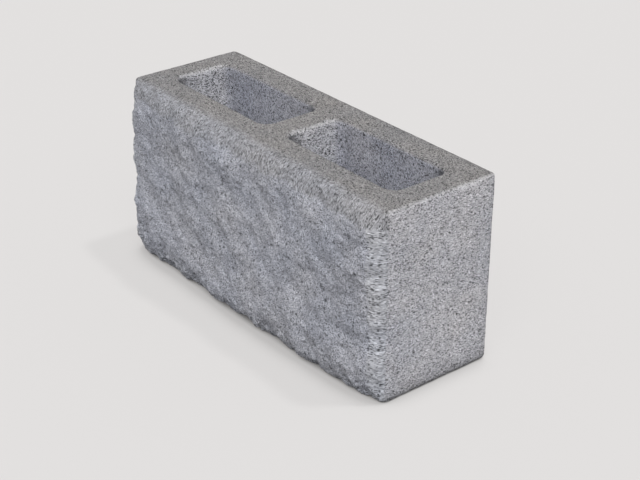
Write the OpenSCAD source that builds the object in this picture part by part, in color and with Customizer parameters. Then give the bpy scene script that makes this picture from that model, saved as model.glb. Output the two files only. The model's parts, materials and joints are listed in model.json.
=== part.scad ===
// Two-cell hollow concrete block with one split, rock-like face.
// The block stands on its bed. X runs along the wall course, the split face looks towards -Y,
// and the origin lies under the middle of the block.

/* [Block] */
// Length along the wall course
block_length = 390; // [290:1:590]
// Height from bed to bed
block_height = 190; // [140:1:290]
// Depth from the smooth back to the mean plane of the split face
block_depth = 140; // [120:1:250]
// Radius of the worn arrises round the moulded faces
arris_radius = 4; // [2:0.5:8]

/* [Cells] */
// Thickness of the web at each end
end_web = 29; // [25:0.5:45]
// Thickness of the web between the two cells
centre_web = 30.5; // [25:0.5:60]
// Thickness of the shell behind the mean plane of the split face
front_shell = 45; // [40:0.5:60]
// Thickness of the shell at the smooth back
back_shell = 31; // [25:0.5:50]
// Radius of the upright corners inside a cell
cell_corner = 11; // [6:0.5:20]
// Radius of the rounded rim at each mouth of a cell
rim_radius = 4; // [2:0.5:6]

/* [Split face] */
// How far the boldest lump stands proud of the mean plane
relief = 4.5; // [2:0.5:8]
// Spacing of the fracture facets over the open face
facet = 5; // [4.5:0.5:14]
// Span of the broad swells of the fracture, along the block
swell_span = 84; // [60:1:140]
// Span of the lumps and hollows on the swells, along the block
lump_span = 19; // [16:1:56]
// Span of the chips on the lumps, along the block
chip_span = 10; // [9:1:22]
// How much longer swells, lumps and chips run up the face than along it
upright_stretch = 1.3; // [1:0.1:2]
// Width of the border over which the face rolls back to its arrises
roll_width = 28; // [12:1:40]
// How far the face has fallen back at its arrises
roll_depth = 16; // [6:0.5:20]
// Share of the relief that is left at the arrises
arris_relief = 0.5; // [0:0.05:1]
// Which fracture this block came away with
fracture = 85; // [1:1:99]

/* [Hidden] */
$fn = 48;

// Margin by which cutting tools run past the outside of the block
over = 12;
// Overlap between a rim's cut and the open space of its cell
lap = 2;

// The overall depth takes in the boldest lump, and is centred on Y = 0
back_y = (block_depth + relief) / 2;
plane_y = back_y - block_depth;
end_x = block_length / 2;

// Each cell fills what the webs and shells leave
cell_length = (block_length - 2 * end_web - centre_web) / 2;
cell_width = block_depth - front_shell - back_shell;
cell_y = plane_y + front_shell + cell_width / 2;
cell_pitch = cell_length + centre_web;

// Stations of the fracture surface: close together over the rolled borders, even between them
border_steps = 6;
function stations(low, high) =
    let (open = high - low - 2 * roll_width, count = ceil(open / facet))
    concat(
        [low - over],
        [for (s = [0 : border_steps - 1]) low + roll_width * pow(s / border_steps, 2)],
        [for (s = [0 : count]) low + roll_width + open * s / count],
        [for (s = [border_steps - 1 : -1 : 0]) high - roll_width * pow(s / border_steps, 2)],
        [high + over]
    );
station_x = stations(-end_x, end_x);
station_z = stations(0, block_height);
last_x = len(station_x) - 1;
last_z = len(station_z) - 1;

// Scattered heights from -1 to 1, one for each lattice point: the fine digits of a steep wave
scatter_turns = [127.1, 311.7, 74.7];
scatter_gain = 43758.5;
function scatter(i, j, seed) =
    let (wave = scatter_gain * sin(scatter_turns * [i, j, seed]))
    2 * (wave - floor(wave)) - 1;

// Smooth noise: the heights of a turned lattice, blended between its points
function blend(a, b, t) = a + (b - a) * t * t * (3 - 2 * t);
function noise(x, z, span, turn, seed) =
    let (
        u = (x * cos(turn) + z * sin(turn)) / span,
        v = (z * cos(turn) - x * sin(turn)) / (span * upright_stretch),
        i = floor(u),
        j = floor(v)
    )
    blend(
        blend(scatter(i, j, seed), scatter(i + 1, j, seed), u - i),
        blend(scatter(i, j + 1, seed), scatter(i + 1, j + 1, seed), u - i),
        v - j
    );

// Heights of the fracture before it is scaled: chips ride on lumps, and lumps on swells
swell_turn = 24;
lump_turn = -17;
chip_turn = 38;
lump_share = 0.7;
chip_share = 0.5;
function raw_height(x, z) =
    noise(x, z, swell_span, swell_turn, fracture)
    + lump_share * noise(x, z, lump_span, lump_turn, fracture + 1)
    + chip_share * noise(x, z, chip_span, chip_turn, fracture + 2);

// The face swells out of its arrises like a pillow: each border rises along a quarter ellipse
function border_rise(inset) =
    let (t = 1 - min(max(inset / roll_width, 0), 1))
    sqrt(1 - t * t);
function pillow(x, z) = border_rise(end_x - abs(x)) * border_rise(min(z, block_height - z));

// The open face is centred on the mean plane, and its boldest lump just reaches the relief
open_heights = [
    for (x = station_x)
        for (z = station_z)
            if (pillow(x, z) == 1)
                raw_height(x, z)
];
raw_mean = open_heights * [for (h = open_heights) 1] / len(open_heights);
raw_peak = max(open_heights) - raw_mean;
function split_y(x, z) =
    let (
        rise = pillow(x, z),
        share = arris_relief + (1 - arris_relief) * rise,
        height = relief * share * (raw_height(x, z) - raw_mean) / raw_peak
    )
    plane_y + roll_depth * (1 - rise) - min(height, relief);

// Rectangle with round corners, centred
module rounded_rectangle(width, height, radius) {
    square([width - 2 * radius, height], center = true);
    square([width, height - 2 * radius], center = true);
    for (sx = [-1, 1], sy = [-1, 1])
        translate([sx * (width / 2 - radius), sy * (height / 2 - radius)])
            circle(radius);
}

// Moulded blank: all arrises rounded, with stock in front for the split to take away
module blank() {
    stock = block_depth + relief + over;
    middle = back_y - stock / 2;
    intersection() {
        translate([0, middle, 0])
            linear_extrude(block_height)
                rounded_rectangle(block_length, stock, arris_radius);
        translate([0, back_y, block_height / 2])
            rotate([90, 0, 0])
                linear_extrude(stock)
                    rounded_rectangle(block_length, block_height, arris_radius);
        translate([-end_x, middle, block_height / 2])
            rotate([90, 0, 90])
                linear_extrude(block_length)
                    rounded_rectangle(stock, block_height, arris_radius);
    }
}

// Section of the cut that rounds a rim: X runs outwards from the cell's wall, Y up to the mouth
module rim_section() {
    difference() {
        translate([-lap, 0])
            square([lap + rim_radius, rim_radius + lap]);
        translate([rim_radius, 0])
            circle(rim_radius);
    }
}

// Cut that rounds the rim of a mouth at Z = 0, with the concrete below it
module rim_cut() {
    for (side = [0 : 3]) {
        lengthwise = side % 2 == 1;
        reach = (lengthwise ? cell_width : cell_length) / 2;
        half_run = (lengthwise ? cell_length : cell_width) / 2 - cell_corner;
        rotate(90 * side) {
            translate([reach, half_run, -rim_radius])
                rotate([90, 0, 0])
                    linear_extrude(2 * half_run)
                        rim_section();
            translate([reach - cell_corner, half_run, -rim_radius])
                rotate_extrude(angle = 90)
                    translate([cell_corner, 0])
                        rim_section();
        }
    }
}

// One cell: a straight core with a rounded rim at both mouths
module cell_core() {
    translate([0, 0, -over])
        linear_extrude(block_height + 2 * over)
            rounded_rectangle(cell_length, cell_width, cell_corner);
    translate([0, 0, block_height])
        rim_cut();
    mirror([0, 0, 1])
        rim_cut();
}

// Stock in front of the fracture, as one closed body with the fracture as its rear side
module split_stock() {
    front_y = plane_y - relief - 2 * over;
    rows = last_z + 1;
    surface_points = [for (x = station_x) for (z = station_z) [x, split_y(x, z), z]];
    corner_points = [
        for (x = [station_x[0], station_x[last_x]])
            for (z = [station_z[0], station_z[last_z]])
                [x, front_y, z]
    ];
    corner = len(surface_points);
    surface_faces = [
        for (i = [0 : last_x - 1])
            for (j = [0 : last_z - 1])
                let (a = i * rows + j, b = a + rows)
                each (i + j) % 2 == 0
                    ? [[a, b + 1, a + 1], [a, b, b + 1]]
                    : [[a, b, a + 1], [a + 1, b, b + 1]]
    ];
    low_side = [for (i = [last_x : -1 : 0]) i * rows];
    high_side = [for (i = [0 : last_x]) i * rows + last_z];
    left_side = [for (j = [0 : last_z]) j];
    right_side = [for (j = [last_z : -1 : 0]) last_x * rows + j];
    polyhedron(
        concat(surface_points, corner_points),
        concat(
            surface_faces,
            [
                concat(low_side, [corner, corner + 2]),
                concat(high_side, [corner + 3, corner + 1]),
                concat(left_side, [corner + 1, corner]),
                concat(right_side, [corner + 2, corner + 3]),
                [corner, corner + 1, corner + 3, corner + 2]
            ]
        )
    );
}

// The whole block: one cast piece
module block() {
    color([0.58, 0.58, 0.61])
        difference() {
            blank();
            for (side = [-1, 1])
                translate([side * cell_pitch / 2, cell_y, 0])
                    cell_core();
            split_stock();
        }
}

block();
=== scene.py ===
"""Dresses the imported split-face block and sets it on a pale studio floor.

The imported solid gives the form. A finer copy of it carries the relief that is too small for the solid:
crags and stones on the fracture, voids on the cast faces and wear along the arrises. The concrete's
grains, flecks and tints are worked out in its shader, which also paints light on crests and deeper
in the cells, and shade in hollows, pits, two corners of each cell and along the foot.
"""

import json
import math

import bmesh
import bpy
import numpy as np
from bpy.props import FloatProperty, FloatVectorProperty, IntProperty, PointerProperty
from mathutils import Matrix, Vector, noise
from mathutils.bvhtree import BVHTree


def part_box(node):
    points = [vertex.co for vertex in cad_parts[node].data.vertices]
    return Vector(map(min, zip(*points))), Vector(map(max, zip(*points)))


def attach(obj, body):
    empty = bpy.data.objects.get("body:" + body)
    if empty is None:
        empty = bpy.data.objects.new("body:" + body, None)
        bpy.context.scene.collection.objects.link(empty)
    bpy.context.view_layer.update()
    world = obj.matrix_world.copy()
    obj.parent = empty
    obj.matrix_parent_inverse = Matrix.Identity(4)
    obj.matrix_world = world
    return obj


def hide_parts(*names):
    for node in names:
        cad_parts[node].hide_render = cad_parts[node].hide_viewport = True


bl_info = {
    "name": "Split-face concrete block",
    "version": (1, 0, 0),
    "blender": (4, 5, 0),
    "location": "3D View > Sidebar > Block",
    "description": "Dresses a cast concrete block with one split face and sets it on a pale floor",
    "category": "Object",
}

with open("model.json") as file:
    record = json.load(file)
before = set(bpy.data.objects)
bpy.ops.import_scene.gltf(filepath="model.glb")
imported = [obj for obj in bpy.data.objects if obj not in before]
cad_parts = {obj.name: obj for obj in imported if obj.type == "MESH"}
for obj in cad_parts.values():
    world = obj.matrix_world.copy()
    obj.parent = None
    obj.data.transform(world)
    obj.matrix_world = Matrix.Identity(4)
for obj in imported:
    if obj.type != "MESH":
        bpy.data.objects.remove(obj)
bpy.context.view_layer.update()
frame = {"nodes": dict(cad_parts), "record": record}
LOW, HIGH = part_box("block")

# Points nearer than this are one point, and a normal with no part over this belongs to an arris
WELD_DISTANCE = 1e-6
FLAT_NORMAL = 0.985

# Lengths in y, from the arris of the fracture, between which the fracture gives way to the cast faces
FRACTURE_EDGE = (-0.004, 0.002)
# Parts of the rolled border's width over which the fracture comes into the open or stops being ragged
OPEN_WIDTH = (0.3, 1.0)
RAGGED_WIDTH = (0.2, 1.0)
# How far each pass eases the border of the fracture, and how much further it eases the open
BORDER_EASE = 0.1
OPEN_EASE = 0.5
# How far a normal leans off its axis where an arris starts to wear and where it wears fully
WORN_LEAN = (0.03, 0.2)

# Noises of the relief: fall of the octaves, step between them and their number, then offset and gain
CRAG_NOISE = (1.0, 2.1, 3, 1.0, 2.0)
RUBBLE_NOISE = (0.8, 2.0, 3)
CHIP_NOISE = (0.9, 2.0, 3)
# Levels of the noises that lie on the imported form, and the part of an arris's wear that is even
CRAG_LEVEL = 1.0
STONE_LEVEL = 0.5
EVEN_WEAR = 0.25
# How far the stones are bent out of their pattern, and how steep they are at their gaps
STONE_BEND = 0.3
STONE_SLOPE = 2.0
# Seed of those bends, which Blender otherwise draws anew in each run
STONE_SEED = 1
# Size of the smallest dome against the largest, and the step over the noise that draws the sizes
SMALL_DOME = 0.45
DOME_DRAW = 5.3

# Half the change from fracture to cast face, and how much longer it is on the beds
ARRIS_BLEND = 0.0015
BED_BLEND = 0.0055
# Span and reach of the wander of the shoulders' inner edge, and the share of it that the cheeks take
WANDER_SPAN = 0.014
WANDER_REACH = 0.005
CHEEK_WANDER = 0.6
# Parts of the rolled border's width between which shoulders and cheeks give way to the open fracture
SHOULDER_WIDTH = (0.4, 0.65)
CHEEK_WIDTH = (0.38, 0.5)
# Slopes between which a cast face turns into an arris over an end, a bed or a long wall of a cell
ARRIS_SLOPE = (0.5, 0.95)
BED_SLOPE = (0.3, 0.75)
LONG_WALL_SLOPE = (0.15, 0.95)
# Middle of the cells from the boldest lump, their reach to either side, and a length inside the end webs
CELL_MIDDLE = 0.0815
CELL_REACH = 0.04
END_INSET = 0.02
# Lengths from a cell's corner between which its painted shade fades, and the rise that counts as a full
# crest
CORNER_SHADE_FADE = (0.002, 0.02)
CREST_RISE = 0.0015

# Grain of each kind of surface: how close it lies along x, y and z (below 1 it is drawn out that way),
# how far it leans along the block, in degrees, and how far its light and dark grains differ in tone
GRAIN = {
    "bed": ((0.9, 1.2, 1.05), 0, 2.1),
    "long_wall": ((1.3, 1.3, 0.65), 30, 1.7),
    "short_wall": ((0.52, 0.52, 1.4), 0, 2.2),
    "upright": ((0.53, 0.53, 1.5), 0, 2.4),
    "arris": ((0.6, 0.6, 0.6), 0, 0.9),
    "shoulder": ((2.5, 0.4, 0.4), 0, 1.9),
    "cheek": ((0.3, 0.3, 1.45), 0, 1.3),
    "fracture": ((1.65, 1.4, 1.1), 33, 1.9),
}
# Detail and roughness of the mottling and the patches, and the range of such noise that is used
MOTTLE_NOISE = (3.0, 0.55)
PATCH_NOISE = (2.0, 0.5)
NOISE_RANGE = (0.25, 0.75)
# Pale patches of the concrete are warmer than dark ones: how far each colour follows a patch
PATCH_TINT = (1.25, 1.0, 0.6)
# Part of a fleck's radius that is fully dark, and how deep the fleck lies against the grains
FLECK_CORE = 0.5
FLECK_SINK = 1.5
# Depth at which the painted light on the walls of the cells is strongest, so that they are palest there
WALL_LIGHT_DEPTH = 0.055
# Share of the painted shade along the block's foot that the fracture takes, and the least tone left
# anywhere
BROKEN_SHADE_AT_FOOT = 0.3
LEAST_TONE = 0.1
BUMP_STRENGTH = 0.8
SPECULAR_LEVEL = 0.25

# How open the floor is, over which its shade fades: near the block, under overhangs and in the cells
NEAR_OPENNESS = (0.5, 1.0)
NEAR_FALL = 3.0
UNDER_OPENNESS = (0.38, 0.2)
CELL_OPENNESS = (0.12, 0.25)
# Heights on the sky between which the band of lights begins and ends, with 1 at the zenith
BAND_BEGIN = (0.2, 0.5)
BAND_END = (0.6, 0.95)


def length(name, description, default):
    """Property for a length in metres."""
    return FloatProperty(
        name=name, description=description, default=default, min=0.0, precision=5, unit="LENGTH"
    )


def share(name, description, default):
    """Property for a share from 0 to 1."""
    return FloatProperty(
        name=name, description=description, default=default, min=0.0, max=1.0, subtype="FACTOR"
    )


def angle(name, description, degrees):
    """Property for an angle, which Blender keeps in radians."""
    return FloatProperty(
        name=name, description=description, default=math.radians(degrees), subtype="ANGLE"
    )


def strength(name, description, default):
    """Property for a number that is never below 0."""
    return FloatProperty(name=name, description=description, default=default, min=0.0)


def tint(name, description, default):
    """Property for a colour, in linear light."""
    return FloatVectorProperty(
        name=name, description=description, default=default, min=0.0, max=4.0, size=3, subtype="COLOR"
    )


class BlockRelief(bpy.types.PropertyGroup):
    """Sizes of the relief on the dressed block"""

    mesh_step: length("Mesh step", "Spacing of the dressed mesh on the cast faces", 0.0048)
    lump_reach: length("Lump reach", "How far the boldest lump stands proud of the fracture", 0.0045)
    roll_width: length("Roll width", "Width of the border over which the fracture rolls back", 0.028)
    roll_depth: length("Roll depth", "How far the fracture has fallen back at its arrises", 0.016)
    easing: IntProperty(
        name="Easing", description="Passes that smooth the facets of the fracture", default=10, min=0
    )
    crag_span: length("Crag span", "Span of the crags on the fracture", 0.02)
    crag_height: length("Crag height", "Height of the crags on the fracture", 0.001)
    stone_spacing: length("Stone spacing", "Spacing of the stones that show in the fracture", 0.0095)
    stone_height: length("Stone height", "How far a stone stands out of the gaps round it", 0.0006)
    rubble_span: length("Rubble span", "Span of the rubble on the crags", 0.0045)
    rubble_height: length("Rubble height", "Height of the rubble on the crags", 0.00045)
    ragged_border: strength(
        "Ragged border", "How much bolder crags, stones and rubble are along the left end and foot", 1.2
    )
    pit_spacing: length("Pit spacing", "Spacing of the pits in the fracture", 0.013)
    pit_radius: length("Pit radius", "Radius of the larger pits", 0.0022)
    pit_depth: length("Pit depth", "Depth of a pit", 0.0024)
    void_spacing: length("Void spacing", "Spacing of the small voids in the cast faces", 0.012)
    void_radius: length("Void radius", "Radius of the larger voids", 0.0026)
    void_depth: length("Void depth", "Depth of a void", 0.0005)
    cast_span: length("Cast span", "Span of the unevenness of the cast faces", 0.02)
    cast_height: length("Cast height", "Height of the unevenness of the cast faces", 0.00015)
    wear_span: length("Wear span", "Span of the chips along the arrises", 0.008)
    wear_depth: length("Wear depth", "Depth of the chips along the arrises", 0.0006)


class BlockConcrete(bpy.types.PropertyGroup):
    """Colours and grain of the concrete"""

    bed_colour: tint("Bed colour", "Concrete of the beds", (0.194, 0.189, 0.190))
    upright_colour: tint("Upright colour", "Concrete of the ends and the back", (0.401, 0.399, 0.426))
    long_wall_colour: tint(
        "Long wall colour", "Concrete of the long walls in the cells", (0.255, 0.259, 0.291)
    )
    short_wall_colour: tint(
        "Short wall colour", "Concrete of the short walls in the cells", (0.363, 0.363, 0.386)
    )
    arris_colour: tint("Arris colour", "Concrete of the arrises over the ends", (0.320, 0.318, 0.328))
    shoulder_colour: tint(
        "Shoulder colour", "Fracture where it rolls over to the upper bed", (0.255, 0.257, 0.275)
    )
    cheek_colour: tint("Cheek colour", "Fracture where it rolls over to the ends", (0.349, 0.355, 0.382))
    fracture_colour: tint("Fracture colour", "Concrete of the open fracture", (0.323, 0.330, 0.366))
    # Painted light on the crests and painted shade in the hollows of the relief
    relief_light_and_shade: share("Rise contrast", "How much paler crests and darker hollows are", 0.12)
    # Painted shade in the pits of the fracture
    pit_shade: share("Pit tone", "How much darker the pits of the fracture are", 0.65)
    # Painted light on the walls of the cells, stronger further in, against the shade there
    wall_painted_light: share("Wall lift", "How much paler the walls of the cells are further in", 0.3)
    # Painted shade in the two corners of each cell that turn away from the light
    corner_shade_tone: share("Corner tone", "How much darker the cells' corners away from the light are", 0.68)
    # Painted shade along the foot of the block, where it meets the floor
    shade_height_at_foot: length("Foot height", "Height of the darker foot of the block", 0.007)
    shade_depth_at_foot: share("Foot tone", "How much darker that foot is on the cast faces", 0.75)
    grain_span: length("Grain span", "Span of the light and dark grains", 0.00072)
    grain_skew: share("Grain skew", "How much further the dark grains go than the light ones", 0.35)
    mottle_span: length("Mottle span", "Span of the mottling", 0.012)
    mottle_contrast: share("Mottle contrast", "How far the mottling differs in tone", 0.08)
    patch_span: length("Patch span", "Span of the pale and dark patches", 0.055)
    patch_contrast: share("Patch contrast", "How far the patches differ in tone", 0.07)
    fleck_spacing: length("Fleck spacing", "Spacing of the dark flecks", 0.0048)
    fleck_radius: length("Fleck radius", "Radius of the larger dark flecks", 0.0017)
    fleck_tone: share("Fleck tone", "Tone of a dark fleck against the concrete", 0.3)
    roughness: share("Roughness", "Roughness of the concrete", 0.92)
    bump_height: length("Bump height", "Height of the grain under the light", 0.0002)


class BlockStage(bpy.types.PropertyGroup):
    """Camera, floor and light"""

    azimuth: angle("Azimuth", "Way the camera stands round the block, from the split face", 51.435)
    elevation: angle("Elevation", "Height of the camera over the horizon", 27.781)
    distance: length("Distance", "Distance of the camera from the point it looks at", 1.4057)
    aim: FloatVectorProperty(
        name="Aim", description="Point that the camera looks at",
        default=(0.0239, 0.0118, 0.0732), size=3, subtype="TRANSLATION", unit="LENGTH",
    )
    lens: FloatProperty(
        name="Lens", description="Focal length of the camera", default=82.06, unit="CAMERA"
    )
    floor_size: length("Floor size", "Side of the square floor", 8.0)
    floor_colour: tint("Floor colour", "Colour of the floor and the backdrop", (0.761, 0.745, 0.738))
    floor_light: tint("Floor light", "Light that reaches the open floor", (2.17, 2.17, 2.17))
    shadow_share: share("Shadow share", "Share of the cast shadow that the floor keeps", 0.2)
    contact_reach: length("Contact reach", "How far the shade of the block spreads over the floor", 0.032)
    contact_share: share("Contact share", "Depth of that shade", 0.27)
    under_share: share("Under share", "Further depth of the shade under an overhang", 0.35)
    cell_share: share("Cell share", "Depth of the shade on the floor inside the cells", 0.6)
    bounce_colour: tint(
        "Bounce colour", "Colour of the light that the floor throws back", (0.19, 0.19, 0.19)
    )
    sky_colour: tint("Sky colour", "Colour of the light", (1.0, 1.0, 1.0))
    sky_strength: strength("Sky strength", "Strength of the even light", 0.17)
    band_strength: strength("Band strength", "Strength of the soft lights hung all round", 1.4)
    sun_azimuth: angle("Sun azimuth", "Way the main light comes from, from the split face", 50.0)
    sun_elevation: angle("Sun elevation", "Height of the main light over the horizon", 48.0)
    sun_angle: angle("Sun angle", "Angle over which the main light is spread", 50.0)
    sun_strength: strength("Sun strength", "Strength of the main light", 2.45)
    back_azimuth: angle("Back azimuth", "Way the floor's back light comes from, from the split face", 141.0)
    back_elevation: angle("Back elevation", "Height of the floor's back light over the horizon", 71.0)
    back_angle: angle("Back angle", "Angle over which the floor's back light is spread", 5.0)
    back_strength: strength("Back strength", "Strength of the floor's back light", 2.62)


def direction(azimuth, elevation):
    """Unit vector towards a place round the block, seen from its middle."""
    return Vector((
        math.sin(azimuth) * math.cos(elevation),
        -math.cos(azimuth) * math.cos(elevation),
        math.sin(elevation),
    ))


def smooth_step(values, start, end):
    """0 up to start, 1 past end and an eased rise between them."""
    t = np.clip((values - start) / (end - start), 0.0, 1.0)
    return t * t * (3.0 - 2.0 * t)


def fracture_arris(relief):
    """Place in y of the arrises where the fracture meets the cast faces."""
    return LOW.y + relief.lump_reach + relief.roll_depth


def fine_copy(node, name, relief):
    """New object with the node's form: evenly meshed, finer on the arrises and finest on the fracture."""
    form = bmesh.new()
    form.from_mesh(node.data)
    bmesh.ops.remove_doubles(form, verts=form.verts, dist=WELD_DISTANCE)
    packed = BVHTree.FromBMesh(form)
    mesh = bpy.data.meshes.new(name)
    form.to_mesh(mesh)
    form.free()
    piece = bpy.data.objects.new(name, mesh)
    bpy.context.collection.objects.link(piece)
    remesh = piece.modifiers.new("even mesh", "REMESH")
    remesh.mode = "VOXEL"
    remesh.voxel_size = relief.mesh_step
    graph = bpy.context.evaluated_depsgraph_get()
    even = bpy.data.meshes.new_from_object(piece.evaluated_get(graph))
    piece.modifiers.clear()
    piece.data = even
    bpy.data.meshes.remove(mesh)
    even.name = name
    refine(even, packed, relief)
    return piece


def refine(mesh, packed, relief):
    """Splits the mesh once on the arrises and twice on the fracture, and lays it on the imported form."""
    form = bmesh.new()
    form.from_mesh(mesh)
    arris_y = fracture_arris(relief)
    for arrises_too in (True, False):
        form.normal_update()
        near = {
            vert for vert in form.verts
            if vert.co.y < arris_y or arrises_too and max(map(abs, vert.normal)) < FLAT_NORMAL
        }
        chosen = [edge for edge in form.edges if not near.isdisjoint(edge.verts)]
        bmesh.ops.subdivide_edges(form, edges=chosen, cuts=1, use_grid_fill=True)
        for vert in form.verts:
            vert.co = packed.find_nearest(vert.co)[0]
    form.to_mesh(mesh)
    form.free()


def rows(items, field):
    """Three numbers of each item, one row each."""
    flat = np.empty(len(items) * 3)
    items.foreach_get(field, flat)
    return flat.reshape(-1, 3)


def mesh_points(mesh):
    """Places of the mesh's vertices."""
    return rows(mesh.vertices, "co")


def mesh_normals(mesh):
    """Normals of the mesh's vertices."""
    return rows(mesh.vertex_normals, "vector")


def ease(mesh, amount, passes):
    """Draws each vertex towards the mean of its neighbours, by its own amount in each pass."""
    points = mesh_points(mesh)
    ends = np.empty(len(mesh.edges) * 2, dtype=np.int32)
    mesh.edges.foreach_get("vertices", ends)
    first, second = ends.reshape(-1, 2).T
    neighbours = np.bincount(ends, minlength=len(points))
    for _ in range(passes):
        for axis in range(3):
            place = points[:, axis]
            total = np.bincount(first, place[second], len(points))
            total += np.bincount(second, place[first], len(points))
            place += amount * (total / neighbours - place)
    mesh.vertices.foreach_set("co", points.ravel())
    mesh.update()


def fracture_share(points, relief):
    """1 on the fracture, 0 on the cast faces, with a short change at the arrises."""
    arris_y = fracture_arris(relief)
    before, after = FRACTURE_EDGE
    return 1.0 - smooth_step(points[:, 1], arris_y + before, arris_y + after)


def inside_border(inset, widths, relief):
    """0 at the edge of the fracture, 1 further in, rising between two parts of the border's width."""
    start, end = widths
    return smooth_step(inset, start * relief.roll_width, end * relief.roll_width)


def surface_kinds(points, normals, relief):
    """Share that each kind of surface has in every vertex: the shares add up to 1."""
    across, up = np.abs(normals[:, 1:]).T
    blend = ARRIS_BLEND + BED_BLEND * up
    split = 1.0 - smooth_step((points[:, 1] - fracture_arris(relief)) / blend, -1.0, 1.0)
    wander = np.array([noise.noise(Vector(p) / WANDER_SPAN) for p in points]) * WANDER_REACH
    bed_inset = HIGH.z - points[:, 2] + wander
    end_inset = HIGH.x - np.abs(points[:, 0]) + CHEEK_WANDER * wander
    shoulder = split * (1.0 - inside_border(bed_inset, SHOULDER_WIDTH, relief))
    cheek = split * (1.0 - inside_border(end_inset, CHEEK_WIDTH, relief))
    cheek *= 1.0 - shoulder
    cast = 1.0 - split
    arris = cast * smooth_step(2.0 * np.abs(normals[:, 0] * normals[:, 2]), *ARRIS_SLOPE)
    cast = cast - arris
    level = smooth_step(up, *BED_SLOPE)
    in_cells = np.abs(points[:, 1] - LOW.y - CELL_MIDDLE) < CELL_REACH
    in_cells &= HIGH.x - np.abs(points[:, 0]) > END_INSET
    wall = cast * in_cells * (1.0 - level)
    long_wall = wall * smooth_step(across, *LONG_WALL_SLOPE)
    return {
        "bed": cast * level,
        "long_wall": long_wall,
        "short_wall": wall - long_wall,
        "upright": cast * (1.0 - in_cells) * (1.0 - level),
        "arris": arris,
        "shoulder": shoulder,
        "cheek": cheek,
        "fracture": split - shoulder - cheek,
    }


def painted_corner_shade(points):
    """Share of painted shade: 1 in the two corners of each cell that turn away from the light, fading to 0
    along its walls.
    """
    shaded = np.zeros(len(points))
    for opening in frame["record"]["physics"]["openings"]:
        for corner in opening["box_m"]:
            away = np.hypot(points[:, 0] - corner[0], points[:, 1] - corner[1])
            shaded = np.maximum(shaded, 1.0 - smooth_step(away, *CORNER_SHADE_FADE))
    return shaded


def dome(place, spacing, radius):
    """Height of scattered domes of mixed size at a place: 1 at the middle of one, 0 between them."""
    distances, middles = noise.voronoi(place / spacing)
    draw = abs(noise.cell(middles[0] * DOME_DRAW))
    size = radius * (SMALL_DOME + (1.0 - SMALL_DOME) * draw)
    return max(0.0, 1.0 - (distances[0] * spacing / size) ** 2)


def fracture_height(place, relief):
    """Height of the broken surface at a place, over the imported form."""
    crag = noise.ridged_multi_fractal(place / relief.crag_span, *CRAG_NOISE) - CRAG_LEVEL
    spacing = relief.stone_spacing
    bent = place + STONE_BEND * spacing * noise.noise_vector(place / spacing)
    distances = noise.voronoi(bent / spacing)[0]
    stone = min(1.0, STONE_SLOPE * (distances[1] - distances[0])) - STONE_LEVEL
    rubble = noise.fractal(place / relief.rubble_span, *RUBBLE_NOISE)
    return (
        relief.crag_height * crag
        + relief.stone_height * stone
        + relief.rubble_height * rubble
    )


def cast_height(place, relief):
    """Height of a cast face at a place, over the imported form."""
    return (
        relief.cast_height * noise.noise(place / relief.cast_span)
        - relief.void_depth * dome(place, relief.void_spacing, relief.void_radius)
    )


def wear(place, relief):
    """How far an arris has worn away at a place."""
    chips = noise.fractal(place / relief.wear_span, *CHIP_NOISE)
    return relief.wear_depth * max(0.0, EVEN_WEAR + chips)


def carve(mesh, relief):
    """Gives the mesh its relief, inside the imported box.

    Returns each vertex's rise, without the ragged border's share, and how far it lies in a pit.
    """
    noise.seed_set(STONE_SEED)
    points = mesh_points(mesh)
    border = np.minimum(points[:, 0] - LOW.x, points[:, 2] - LOW.z)
    inset = np.minimum(border, np.minimum(HIGH.x - points[:, 0], HIGH.z - points[:, 2]))
    open_face = inside_border(inset, OPEN_WIDTH, relief)
    ragged = 1.0 + relief.ragged_border * (1.0 - inside_border(border, RAGGED_WIDTH, relief))
    ease(mesh, fracture_share(points, relief) * (BORDER_EASE + OPEN_EASE * open_face), relief.easing)
    points = mesh_points(mesh)
    normals = mesh_normals(mesh)
    split = fracture_share(points, relief)
    arris = smooth_step(1.0 - np.abs(normals).max(axis=1), *WORN_LEAN) * (1.0 - split)
    heights = np.zeros(len(points))
    pits = np.zeros(len(points))
    for index, point in enumerate(points):
        place = Vector(point)
        broken = split[index]
        if broken:
            pits[index] = broken * dome(place, relief.pit_spacing, relief.pit_radius)
            heights[index] = broken * ragged[index] * fracture_height(place, relief)
            heights[index] -= relief.pit_depth * pits[index]
        if broken < 1.0:
            heights[index] += (1.0 - broken) * cast_height(place, relief)
        if arris[index]:
            heights[index] -= arris[index] * wear(place, relief)
    points += normals * heights[:, None]
    np.clip(points, LOW, HIGH, out=points)
    mesh.vertices.foreach_set("co", points.ravel())
    mesh.polygons.foreach_set("use_smooth", np.ones(len(mesh.polygons), dtype=bool))
    mesh.update()
    return heights / ragged, pits


def mark(mesh, name, values):
    """Keeps one number for each vertex, for the shader to read."""
    attribute = mesh.attributes.new(name, "FLOAT", "POINT")
    attribute.data.foreach_set("value", np.asarray(values, dtype=np.float32))


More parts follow.
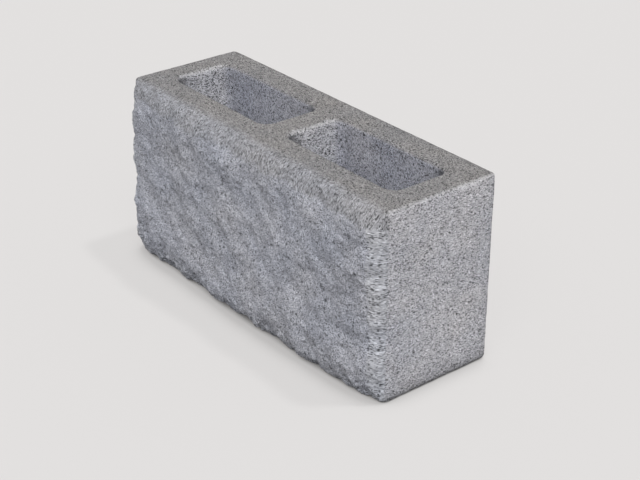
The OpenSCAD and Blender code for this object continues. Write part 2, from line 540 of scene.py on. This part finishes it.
class Shader:
    """Adds nodes to a material or world and wires each one as it is made."""

    def __init__(self, owner):
        owner.use_nodes = True
        self.tree = owner.node_tree
        self.tree.nodes.clear()

    def add(self, kind, inputs, **settings):
        """New node with its settings made, its values set and its wires joined."""
        made = self.tree.nodes.new(kind)
        for name, value in settings.items():
            setattr(made, name, value)
        for name, value in inputs.items():
            if isinstance(value, bpy.types.NodeSocket):
                self.tree.links.new(value, made.inputs[name])
            else:
                made.inputs[name].default_value = value
        return made

    def math(self, operation, *values):
        """Result of a sum on numbers."""
        return self.add("ShaderNodeMath", dict(enumerate(values)), operation=operation).outputs[0]

    def product(self, first, *others):
        """All the numbers multiplied, one after the other."""
        for other in others:
            first = self.math("MULTIPLY", first, other)
        return first

    def vector(self, operation, *values):
        """Result of a sum on vectors or colours."""
        made = self.add("ShaderNodeVectorMath", dict(enumerate(values)), operation=operation)
        return made.outputs[0]

    def scaled(self, vector, factor):
        """Vector or colour times a number."""
        made = self.add("ShaderNodeVectorMath", {0: vector, "Scale": factor}, operation="SCALE")
        return made.outputs[0]

    def remap(self, value, start, end, low, high, interpolation="LINEAR"):
        """Number brought from one range to another, held within it."""
        ranges = {"Value": value, "From Min": start, "From Max": end, "To Min": low, "To Max": high}
        made = self.add("ShaderNodeMapRange", ranges, clamp=True, interpolation_type=interpolation)
        return made.outputs[0]

    def noise(self, place, span, detail, roughness):
        """Cloudy noise from 0 to 1 about 0.5."""
        inputs = {"Vector": place, "Scale": 1.0 / span, "Detail": detail, "Roughness": roughness}
        return self.add("ShaderNodeTexNoise", inputs).outputs[0]

    def cells(self, place, span):
        """Cells of one span: the outputs of the node, and a number drawn from 0 to 1 for each cell."""
        made = self.add("ShaderNodeTexVoronoi", {"Vector": place, "Scale": 1.0 / span}).outputs
        return made, self.add("ShaderNodeSeparateColor", {0: made["Color"]}).outputs[0]

    def height(self, place):
        """Height of a place."""
        return self.add("ShaderNodeSeparateXYZ", {0: place}).outputs["Z"]

    def marked(self, name):
        """Number that the mesh keeps for each vertex under a name."""
        return self.add("ShaderNodeAttribute", {}, attribute_name=name).outputs["Fac"]


def surface_tint(shader, place, finish):
    """Colour of each kind of surface, with pale and dark patches."""
    colour = (0.0, 0.0, 0.0)
    for name in GRAIN:
        own = tuple(getattr(finish, name + "_colour"))
        colour = shader.vector("MULTIPLY_ADD", shader.marked(name), own, colour)
    patch = shader.noise(place, finish.patch_span, *PATCH_NOISE)
    warmth = shader.remap(patch, *NOISE_RANGE, -finish.patch_contrast, finish.patch_contrast)
    patched = shader.vector("MULTIPLY_ADD", warmth, PATCH_TINT, (1.0, 1.0, 1.0))
    return shader.vector("MULTIPLY", colour, patched)


def concrete_grain(shader, place, finish):
    """Light and dark grains about 0, drawn out as each kind of surface was made."""
    total = 0.0
    for name, (packing, lean, contrast) in GRAIN.items():
        turn = (0.0, math.radians(lean), 0.0)
        leaning = shader.add("ShaderNodeMapping", {"Vector": place, "Rotation": turn}).outputs[0]
        packed = shader.vector("MULTIPLY", leaning, packing)
        _, drawn = shader.cells(packed, finish.grain_span)
        even = shader.remap(drawn, 0.0, 1.0, -1.0, 1.0)
        grain = shader.product(even, even, even)
        weight = shader.math("MULTIPLY", shader.marked(name), contrast)
        total = shader.math("MULTIPLY_ADD", weight, grain, total)
    square = shader.math("MULTIPLY", total, total)
    return shader.math("MULTIPLY_ADD", square, -finish.grain_skew, total)


def dark_flecks(shader, place, finish):
    """1 in the middle of a scattered dark fleck, 0 between them."""
    cells, drawn = shader.cells(place, finish.fleck_spacing)
    size = shader.math("MULTIPLY", drawn, finish.fleck_radius / finish.fleck_spacing)
    inner = shader.math("MULTIPLY", size, FLECK_CORE)
    return shader.remap(cells["Distance"], inner, size, 1.0, 0.0)


def mottling(shader, place, finish):
    """Cloudy tone about 1."""
    mottle = shader.noise(place, finish.mottle_span, *MOTTLE_NOISE)
    contrast = finish.mottle_contrast
    return shader.remap(mottle, *NOISE_RANGE, 1.0 - contrast, 1.0 + contrast)


def painted_wall_light_and_shade(shader, rise, finish):
    """Painted light and shade on the walls of the cells: painted light that grows further in, and painted
    shade in two corners of each cell.
    """
    walls = shader.math("ADD", shader.marked("long_wall"), shader.marked("short_wall"))
    light_and_shade = shader.remap(rise, HIGH.z, HIGH.z - WALL_LIGHT_DEPTH, 0.0, finish.wall_painted_light)
    # Painted shade in those corners
    light_and_shade = shader.math("MULTIPLY_ADD", shader.marked("corner"), -finish.corner_shade_tone, light_and_shade)
    return shader.math("MULTIPLY_ADD", walls, light_and_shade, 1.0)


def painted_shade_at_foot(shader, rise, finish):
    """Painted shade along the block's foot, where it meets the floor, which the fracture has less of than
    the cast faces.
    """
    fade = shader.math("EXPONENT", shader.math("MULTIPLY", rise, -1.0 / finish.shade_height_at_foot))
    broken = shader.math("ADD", shader.marked("fracture"), shader.marked("cheek"))
    depth = shader.remap(broken, 0.0, 1.0, finish.shade_depth_at_foot, BROKEN_SHADE_AT_FOOT * finish.shade_depth_at_foot)
    return shader.math("SUBTRACT", 1.0, shader.math("MULTIPLY", fade, depth))


def concrete(finish):
    """Grey aggregate concrete: grains, flecks, mottling and patches over a tint for each surface, with
    painted light and shade on crests, hollows, pits, the walls of the cells and the foot.
    """
    material = bpy.data.materials.new("aggregate_concrete")
    shader = Shader(material)
    place = shader.add("ShaderNodeTexCoord", {}).outputs["Object"]
    rise = shader.height(place)
    grain = concrete_grain(shader, place, finish)
    fleck = dark_flecks(shader, place, finish)
    tone = shader.product(
        shader.math("ADD", grain, 1.0),
        shader.remap(fleck, 0.0, 1.0, 1.0, finish.fleck_tone),
        # Painted light on crests and painted shade in hollows
        shader.math("MULTIPLY_ADD", shader.marked("rise"), finish.relief_light_and_shade, 1.0),
        # Painted shade in the pits
        shader.math("MULTIPLY_ADD", shader.marked("pit"), -finish.pit_shade, 1.0),
        mottling(shader, place, finish),
        painted_wall_light_and_shade(shader, rise, finish),
        painted_shade_at_foot(shader, rise, finish),
    )
    tone = shader.math("MAXIMUM", tone, LEAST_TONE)
    colour = shader.scaled(surface_tint(shader, place, finish), tone)

    relief = shader.math("MULTIPLY_ADD", fleck, -FLECK_SINK, grain)
    bump = shader.add("ShaderNodeBump", {
        "Strength": BUMP_STRENGTH,
        "Distance": finish.bump_height,
        "Height": relief,
    })
    surface = shader.add("ShaderNodeBsdfPrincipled", {
        "Base Color": colour,
        "Roughness": finish.roughness,
        "Specular IOR Level": SPECULAR_LEVEL,
        "Normal": bump.outputs[0],
    })
    shader.add("ShaderNodeOutputMaterial", {"Surface": surface.outputs[0]})
    return material


def seen_rays(shader):
    """1 for the rays that show the background: straight, mirrored or through glass."""
    rays = shader.add("ShaderNodeLightPath", {}).outputs
    seen = shader.math("ADD", rays["Is Camera Ray"], rays["Is Glossy Ray"])
    seen = shader.math("ADD", seen, rays["Is Transmission Ray"])
    return shader.math("MINIMUM", seen, 1.0)


def floor_shade(shader, stage):
    """Shade that the block lays on the floor: near it, under its overhangs and in its cells."""
    clear = shader.add("ShaderNodeAmbientOcclusion", {"Distance": stage.contact_reach}).outputs["AO"]
    near = shader.math("POWER", shader.remap(clear, *NEAR_OPENNESS, 1.0, 0.0), NEAR_FALL)
    under = shader.remap(clear, *UNDER_OPENNESS, 0.0, stage.under_share)
    shade = shader.math("SUBTRACT", shader.math("MULTIPLY_ADD", near, -stage.contact_share, 1.0), under)
    open_sky = shader.add("ShaderNodeAmbientOcclusion", {"Distance": HIGH.z - LOW.z}).outputs["AO"]
    outside = shader.remap(open_sky, *CELL_OPENNESS, 1.0 - stage.cell_share, 1.0)
    return shader.math("MULTIPLY", shade, outside)


def floor_finish(stage):
    """Pale floor: it shows its own colour with a soft shadow, and throws back plain light."""
    material = bpy.data.materials.new("pale_floor")
    shader = Shader(material)
    lit = (*(colour / light for colour, light in zip(stage.floor_colour, stage.floor_light)), 1.0)
    pale = shader.scaled(tuple(stage.floor_colour), floor_shade(shader, stage))
    glow = shader.add("ShaderNodeEmission", {"Color": pale}).outputs[0]
    shaded = shader.add("ShaderNodeBsdfDiffuse", {"Color": lit}).outputs[0]
    shown = shader.add("ShaderNodeMixShader", {0: stage.shadow_share, 1: glow, 2: shaded}).outputs[0]
    bounce = shader.add("ShaderNodeBsdfDiffuse", {"Color": (*stage.bounce_colour, 1.0)}).outputs[0]
    surface = shader.add("ShaderNodeMixShader", {0: seen_rays(shader), 1: bounce, 2: shown})
    shader.add("ShaderNodeOutputMaterial", {"Surface": surface.outputs[0]})
    return material


def studio_sky(stage):
    """Even light and a band of soft lights all round, behind a plain pale background."""
    world = bpy.data.worlds.new("studio_sky")
    shader = Shader(world)
    rise = shader.height(shader.add("ShaderNodeTexCoord", {}).outputs["Generated"])
    over_floor = shader.remap(rise, *BAND_BEGIN, 0.0, stage.band_strength, "SMOOTHSTEP")
    under_zenith = shader.remap(rise, *BAND_END, 1.0, 0.0, "SMOOTHSTEP")
    level = shader.math("MULTIPLY_ADD", over_floor, under_zenith, stage.sky_strength)
    light = shader.add("ShaderNodeBackground", {"Color": (*stage.sky_colour, 1.0), "Strength": level})
    backdrop = shader.add("ShaderNodeBackground", {"Color": (*stage.floor_colour, 1.0), "Strength": 1.0})
    mixed = shader.add(
        "ShaderNodeMixShader", {0: seen_rays(shader), 1: light.outputs[0], 2: backdrop.outputs[0]}
    )
    shader.add("ShaderNodeOutputWorld", {"Surface": mixed.outputs[0]})
    return world


def lay_floor(stage):
    """Square floor under the block."""
    half = stage.floor_size / 2
    corners = [(-half, -half, LOW.z), (half, -half, LOW.z), (half, half, LOW.z), (-half, half, LOW.z)]
    mesh = bpy.data.meshes.new("floor")
    mesh.from_pydata(corners, [], [(0, 1, 2, 3)])
    mesh.materials.append(floor_finish(stage))
    floor = bpy.data.objects.new("floor", mesh)
    bpy.context.collection.objects.link(floor)
    return floor


def hang_sun(name, towards, energy, spread):
    """Far light that comes from one side, spread over an angle."""
    lamp = bpy.data.lights.new(name, "SUN")
    lamp.energy = energy
    lamp.angle = spread
    sun = bpy.data.objects.new(name, lamp)
    sun.rotation_mode = "QUATERNION"
    sun.rotation_quaternion = towards.to_track_quat("Z", "Y")
    bpy.context.collection.objects.link(sun)
    return sun


def light_block(stage):
    """Soft main light from the side of the near corner."""
    towards = direction(stage.sun_azimuth, stage.sun_elevation)
    hang_sun("soft_sun", towards, stage.sun_strength, stage.sun_angle)


def light_floor(stage, floor):
    """Light from behind that falls on the floor alone, for the block's faint shadow towards the front."""
    towards = direction(stage.back_azimuth, stage.back_elevation)
    sun = hang_sun("back_light", towards, stage.back_strength, stage.back_angle)
    lit = bpy.data.collections.new("lit_floor")
    lit.objects.link(floor)
    sun.light_linking.receiver_collection = lit


def set_camera(stage):
    """Camera at the viewing angle."""
    data = bpy.data.cameras.new("camera")
    data.lens = stage.lens
    camera = bpy.data.objects.new("camera", data)
    back = direction(stage.azimuth, stage.elevation)
    camera.location = Vector(stage.aim) + stage.distance * back
    camera.rotation_mode = "QUATERNION"
    camera.rotation_quaternion = (-back).to_track_quat("-Z", "Y")
    bpy.context.collection.objects.link(camera)
    bpy.context.scene.camera = camera


class SPLITBLOCK_OT_block(bpy.types.Operator):
    """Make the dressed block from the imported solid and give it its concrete"""

    bl_idname = "split_block.block"
    bl_label = "Make the block"

    def execute(self, context):
        relief = context.scene.block_relief
        piece = fine_copy(frame["nodes"]["block"], "cast_block", relief)
        mesh = piece.data
        heights, pits = carve(mesh, relief)
        # Rise and pits of the relief, which the shader also turns into painted light and shade
        mark(mesh, "rise", np.clip(heights / CREST_RISE, -1.0, 1.0))
        mark(mesh, "pit", pits)
        # Painted shade in the cells' corners, kept for the shader
        mark(mesh, "corner", painted_corner_shade(mesh_points(mesh)))
        kinds = surface_kinds(mesh_points(mesh), mesh_normals(mesh), relief)
        for name, values in kinds.items():
            mark(mesh, name, values)
        mesh.materials.clear()
        mesh.materials.append(concrete(context.scene.block_concrete))
        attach(piece, "root")
        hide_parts("block")
        return {"FINISHED"}


class SPLITBLOCK_OT_stage(bpy.types.Operator):
    """Lay the floor, light it softly and set the camera"""

    bl_idname = "split_block.stage"
    bl_label = "Set the stage"

    def execute(self, context):
        stage = context.scene.block_stage
        floor = lay_floor(stage)
        light_block(stage)
        light_floor(stage, floor)
        set_camera(stage)
        context.scene.world = studio_sky(stage)
        context.scene.view_settings.view_transform = "Standard"
        return {"FINISHED"}


class SPLITBLOCK_PT_sidebar(bpy.types.Panel):
    """Settings of the block, its concrete and the stage"""

    bl_label = "Split-face block"
    bl_space_type = "VIEW_3D"
    bl_region_type = "UI"
    bl_category = "Block"

    def draw(self, context):
        scene = context.scene
        groups = (
            (scene.block_relief, SPLITBLOCK_OT_block),
            (scene.block_concrete, SPLITBLOCK_OT_block),
            (scene.block_stage, SPLITBLOCK_OT_stage),
        )
        for settings, operator in groups:
            box = self.layout.box()
            for name in settings.__annotations__:
                box.prop(settings, name)
            box.operator(operator.bl_idname)


CLASSES = (
    BlockRelief,
    BlockConcrete,
    BlockStage,
    SPLITBLOCK_OT_block,
    SPLITBLOCK_OT_stage,
    SPLITBLOCK_PT_sidebar,
)
SETTINGS = {"block_relief": BlockRelief, "block_concrete": BlockConcrete, "block_stage": BlockStage}


def register():
    for cls in CLASSES:
        bpy.utils.register_class(cls)
    for name, group in SETTINGS.items():
        setattr(bpy.types.Scene, name, PointerProperty(type=group))


def unregister():
    for name in SETTINGS:
        delattr(bpy.types.Scene, name)
    for cls in reversed(CLASSES):
        bpy.utils.unregister_class(cls)


def main():
    register()
    bpy.ops.split_block.block()
    bpy.ops.split_block.stage()


if __name__ == "__main__":
    main()
